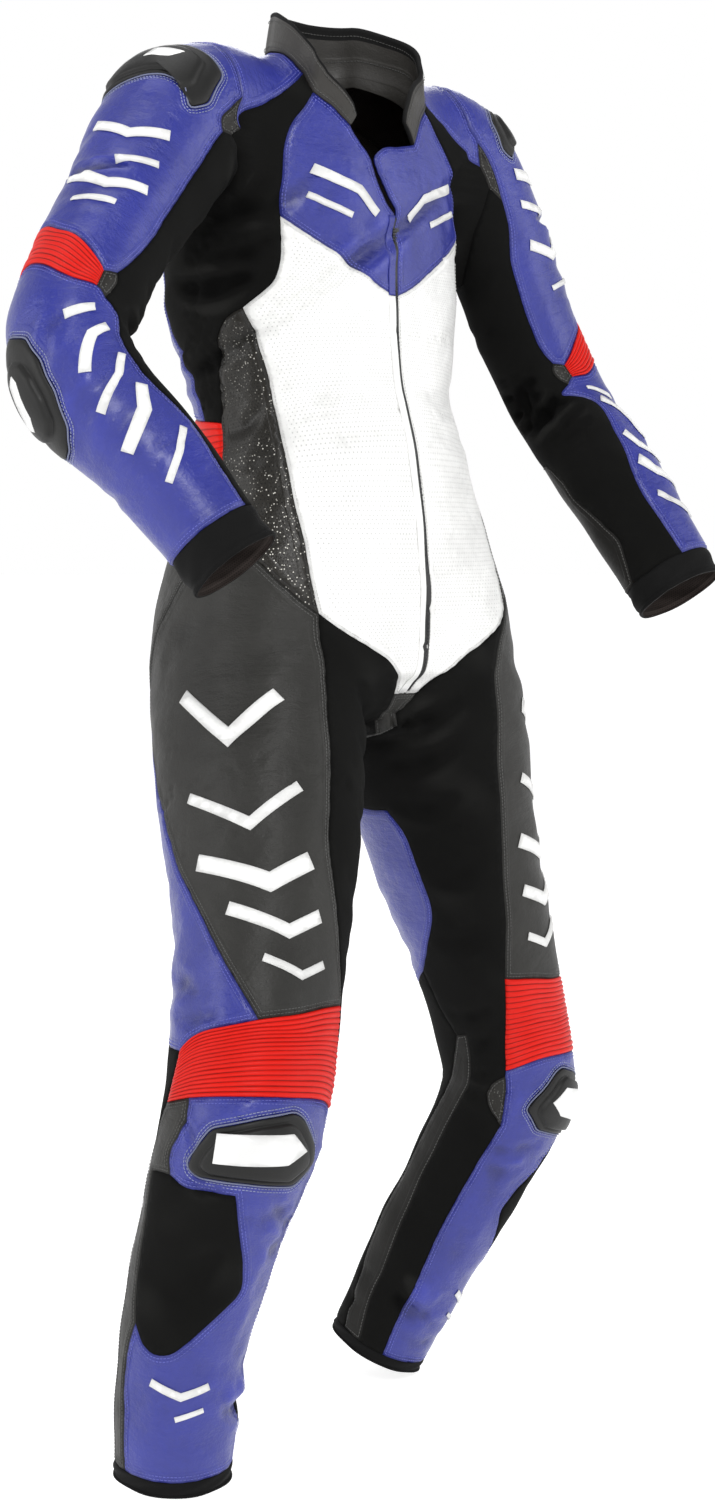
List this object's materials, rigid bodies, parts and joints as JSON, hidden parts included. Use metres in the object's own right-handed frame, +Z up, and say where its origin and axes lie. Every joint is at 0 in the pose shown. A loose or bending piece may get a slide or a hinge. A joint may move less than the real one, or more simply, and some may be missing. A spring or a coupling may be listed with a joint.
{
  "type": "motorcycle race suit",
  "caption": "One-piece leather motorcycle race suit in its worn, hollow form, with stretch panels, ribbed elbow, knee and lumbar panels and moulded armour.",
  "frame": {"origin": "inside the neck opening, level with the tops of the shoulders, where the wearer holds the suit up", "axes": "+Z up towards the collar, -Y out of the chest, +X towards the wearer's left"},
  "size_m": [0.7728, 0.4402, 1.4546],
  "materials": {
    "blue_leather": "satin full-grain leather",
    "white_leather": "satin leather with a faint fine perforation",
    "grey_leather": "satin leather",
    "side_leather": "glossy perforated leather",
    "black_stretch": "matte stretch knit",
    "red_ribs": "soft leather gathered into ribs over stretch knit",
    "black_armour": "moulded, satin",
    "collar_leather": "satin leather with a knit edge",
    "zip": "woven tape with a moulded chain"
  },
  "bodies": {
    "root": {"chest_R": "blue_leather", "front_R": "white_leather", "stretch_chest_R": "black_stretch", "side_R": "side_leather", "yoke_R": "blue_leather", "gusset_R": "grey_leather", "sleeve_upper_R": "blue_leather", "shoulder_armour_R": "black_armour", "stretch_sleeve_R": "black_stretch", "elbow_ribs_R": "red_ribs", "elbow_patch_R": "grey_leather", "forearm_R": "blue_leather", "elbow_armour_R": "black_armour", "forearm_strip_R": "grey_leather", "thigh_R": "grey_leather", "stretch_leg_R": "black_stretch", "thigh_back_R": "blue_leather", "knee_ribs_R": "red_ribs", "knee_patch_R": "grey_leather", "shin_R": "blue_leather", "knee_armour_R": "black_armour", "calf_stretch_R": "black_stretch", "calf_back_R": "black_stretch", "inner_strip_R": "grey_leather", "outer_strip_R": "grey_leather", "cuff_R": "black_stretch", "ankle_band_R": "black_stretch", "chest_L": "blue_leather", "front_L": "white_leather", "stretch_chest_L": "black_stretch", "side_L": "side_leather", "yoke_L": "blue_leather", "gusset_L": "grey_leather", "sleeve_upper_L": "blue_leather", "shoulder_armour_L": "black_armour", "stretch_sleeve_L": "black_stretch", "elbow_ribs_L": "red_ribs", "elbow_patch_L": "grey_leather", "forearm_L": "blue_leather", "elbow_armour_L": "black_armour", "forearm_strip_L": "grey_leather", "thigh_L": "grey_leather", "stretch_leg_L": "black_stretch", "thigh_back_L": "blue_leather", "knee_ribs_L": "red_ribs", "knee_patch_L": "grey_leather", "shin_L": "blue_leather", "knee_armour_L": "black_armour", "calf_stretch_L": "black_stretch", "calf_back_L": "black_stretch", "inner_strip_L": "grey_leather", "outer_strip_L": "grey_leather", "cuff_L": "black_stretch", "ankle_band_L": "black_stretch", "back": "blue_leather", "lumbar_ribs": "red_ribs", "seat": "grey_leather", "crotch_piece": "grey_leather", "collar": "collar_leather", "zip_tape": "zip"}
  },
  "joints": []
}
